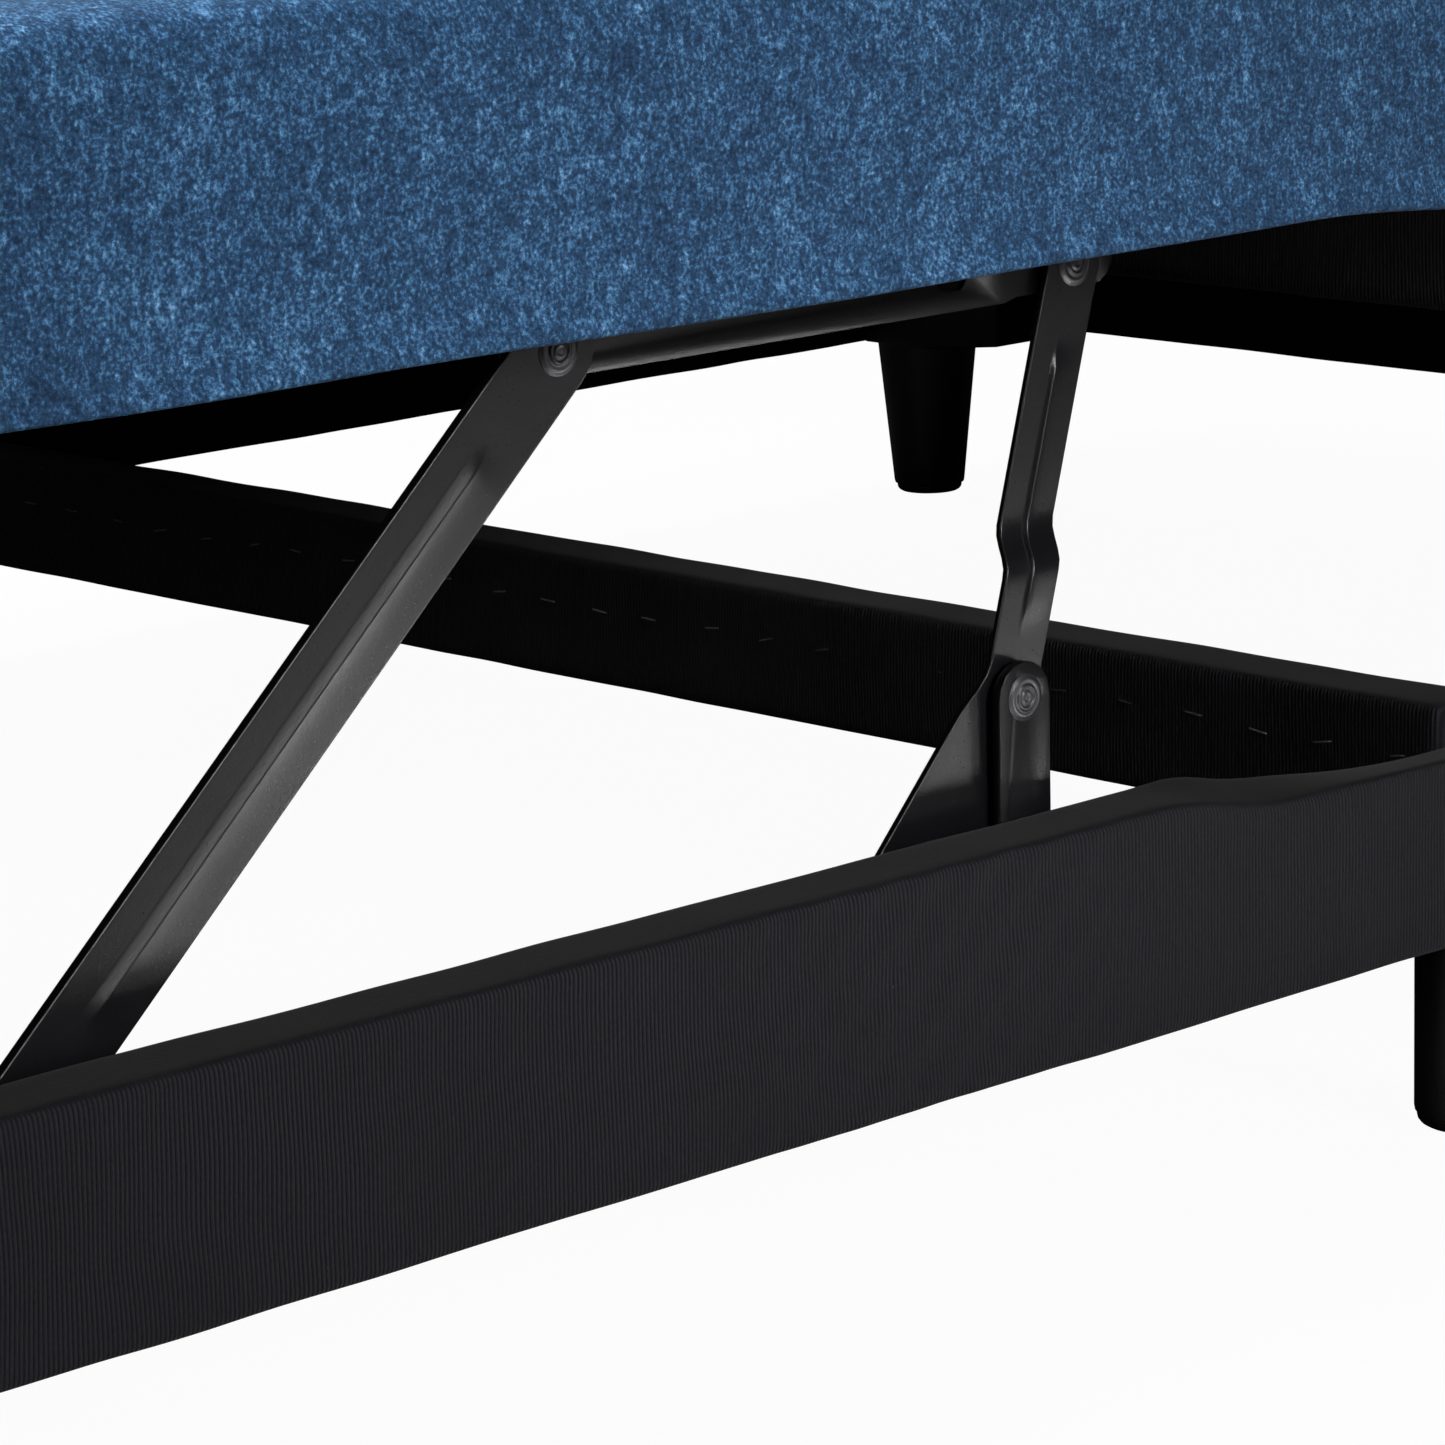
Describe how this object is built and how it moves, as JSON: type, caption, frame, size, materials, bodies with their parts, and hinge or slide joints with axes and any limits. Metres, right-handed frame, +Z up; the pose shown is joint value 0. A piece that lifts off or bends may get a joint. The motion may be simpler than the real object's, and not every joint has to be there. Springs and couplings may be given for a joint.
{
  "type": "adjustable bed base",
  "caption": "Double bed base with a fixed head half and a foot half whose padded deck rises and tilts on side linkages with gas struts.",
  "frame": {"origin": "on the floor under the middle of the base's bounding box", "axes": "+X towards the head end, +Y across the bed to the far side, +Z up"},
  "size_m": [2.01, 1.36, 0.536],
  "materials": {
    "black_steel": "satin powder coat",
    "rivet_steel": "satin",
    "rod_steel": "polished",
    "black_fabric": "timber rail wrapped in black ribbed fabric",
    "blue_velvet": "short pile velvet",
    "black_leg": "turned and sawn wood, painted satin black",
    "raw_timber": "sawn softwood",
    "plywood": "plywood"
  },
  "bodies": {
    "base": {"arm_pivot_rivet_far": "rivet_steel", "arm_pivot_rivet_near": "rivet_steel", "crank_pivot_rivet_far": "rivet_steel", "crank_pivot_rivet_near": "rivet_steel", "flat_stop_far": "rivet_steel", "flat_stop_near": "rivet_steel", "foot_end_rail": "black_fabric", "foot_side_rail_far": "black_fabric", "foot_side_rail_near": "black_fabric", "ground_plate_far": "black_steel", "ground_plate_near": "black_steel", "head_corner_block_far": "black_leg", "head_corner_block_near": "black_leg", "head_deck_centre_rib": "raw_timber", "head_deck_panel": "plywood", "head_deck_timber_frame": "raw_timber", "head_deck_velvet_cover": "blue_velvet", "head_end_rail": "black_fabric", "head_front_rail": "black_fabric", "head_side_rail_far": "black_fabric", "head_side_rail_near": "black_fabric", "join_plate_far": "black_steel", "join_plate_near": "black_steel", "leg_block_foot_far": "raw_timber", "leg_block_foot_near": "raw_timber", "leg_block_middle_far": "raw_timber", "leg_block_middle_near": "raw_timber", "leg_foot_far": "black_leg", "leg_foot_near": "black_leg", "leg_head_far": "black_leg", "leg_head_near": "black_leg", "leg_middle_far": "black_leg", "leg_middle_near": "black_leg", "lift_cross_rail": "black_fabric", "strut_anchor_stud_far": "rivet_steel", "strut_anchor_stud_near": "rivet_steel"},
    "lift_deck": {"lift_deck_centre_rib": "raw_timber", "lift_deck_panel": "plywood", "lift_deck_timber_frame": "raw_timber", "lift_deck_velvet_cover": "blue_velvet", "coupler_near": "black_steel", "coupler_far": "black_steel", "coupler_end_rivet_near": "rivet_steel", "coupler_end_rivet_far": "rivet_steel"},
    "long_arm_near": {"long_arm_near": "black_steel", "arm_deck_rivet_near": "rivet_steel"},
    "crank_near": {"crank_near": "black_steel", "crank_deck_rivet_near": "rivet_steel", "strut_crank_stud_near": "rivet_steel"},
    "strut_barrel_near": {"strut_barrel_near": "black_steel"},
    "strut_rod_near": {"strut_rod_near": "rod_steel"},
    "long_arm_far": {"long_arm_far": "black_steel", "arm_deck_rivet_far": "rivet_steel"},
    "crank_far": {"crank_far": "black_steel", "crank_deck_rivet_far": "rivet_steel", "strut_crank_stud_far": "rivet_steel"},
    "strut_barrel_far": {"strut_barrel_far": "black_steel"},
    "strut_rod_far": {"strut_rod_far": "rod_steel"}
  },
  "joints": [
    {"name": "lift", "type": "hinge", "parent": "base", "child": "long_arm_near", "pos_m": [-0.8775, -0.631, 0.1393], "axis": [0, -1, 0], "range_deg": [0, 16]},
    {"name": "crank_near", "type": "hinge", "parent": "base", "child": "crank_near", "pos_m": [-0.368, -0.631, 0.2335], "axis": [0, -1, 0], "range_deg": [0, 30.9]},
    {"name": "strut_near", "type": "hinge", "parent": "base", "child": "strut_barrel_near", "pos_m": [-0.794, -0.6175, 0.12], "axis": [0, -1, 0], "range_deg": [-4.9, 0]},
    {"name": "strut_rod_near", "type": "slide", "parent": "strut_barrel_near", "child": "strut_rod_near", "axis": [0.9963, 0, 0.0864], "range_m": [0, 0.0535]},
    {"name": "lift_far", "type": "hinge", "parent": "base", "child": "long_arm_far", "pos_m": [-0.8775, 0.631, 0.1393], "axis": [0, -1, 0], "range_deg": [0, 16.05]},
    {"name": "crank_far", "type": "hinge", "parent": "base", "child": "crank_far", "pos_m": [-0.368, 0.631, 0.2335], "axis": [0, -1, 0], "range_deg": [0, 30.9]},
    {"name": "strut_far", "type": "hinge", "parent": "base", "child": "strut_barrel_far", "pos_m": [-0.794, 0.6175, 0.12], "axis": [0, -1, 0], "range_deg": [-4.9, 0]},
    {"name": "strut_rod_far", "type": "slide", "parent": "strut_barrel_far", "child": "strut_rod_far", "axis": [0.9963, 0, 0.0864], "range_m": [0, 0.0535]},
    {"name": "deck_pivot", "type": "hinge", "parent": "long_arm_near", "child": "lift_deck", "pos_m": [-0.596, -0.631, 0.3946], "axis": [0, -1, 0], "range_deg": [-29.95, 0]}
  ],
  "couplings": [
    {"joint": "crank_near", "follows": "lift", "ratio": 1.9288},
    {"joint": "strut_near", "follows": "lift", "ratio": -0.30268},
    {"joint": "strut_rod_near", "follows": "lift", "m_per_rad": 0.1893},
    {"joint": "lift_far", "follows": "lift", "ratio": 1},
    {"joint": "crank_far", "follows": "lift", "ratio": 1.9288},
    {"joint": "strut_far", "follows": "lift", "ratio": -0.30268},
    {"joint": "strut_rod_far", "follows": "lift", "m_per_rad": 0.1893},
    {"joint": "deck_pivot", "follows": "lift", "ratio": -1.8693}
  ]
}
